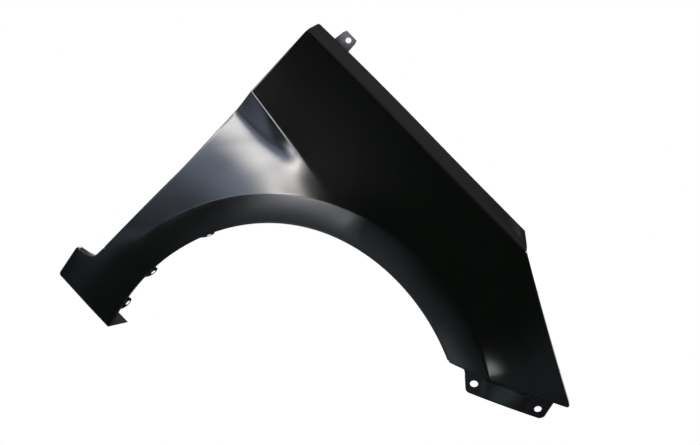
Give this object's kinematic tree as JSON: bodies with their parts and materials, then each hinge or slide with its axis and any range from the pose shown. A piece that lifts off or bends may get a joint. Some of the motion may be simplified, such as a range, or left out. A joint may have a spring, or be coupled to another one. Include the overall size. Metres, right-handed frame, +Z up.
{
  "type": "car fender",
  "caption": "Pressed steel front fender with a round wheel arch, flared lip, side scoop and folded bolting flanges.",
  "frame": {"origin": "underside of the bonnet-side flange, between its second and third bolt holes", "axes": "+X towards the front of the car, +Y inboard, +Z up; the painted side faces -Y"},
  "size_m": [0.9324, 0.2495, 0.7499],
  "materials": {
    "black_primer": "semi-gloss black dip primer on steel",
    "bracket_primer": "satin black dip primer on steel"
  },
  "bodies": {
    "root": {"fender_panel": "black_primer", "bumper_bracket": "bracket_primer", "rear_top_bracket": "bracket_primer"}
  },
  "joints": []
}
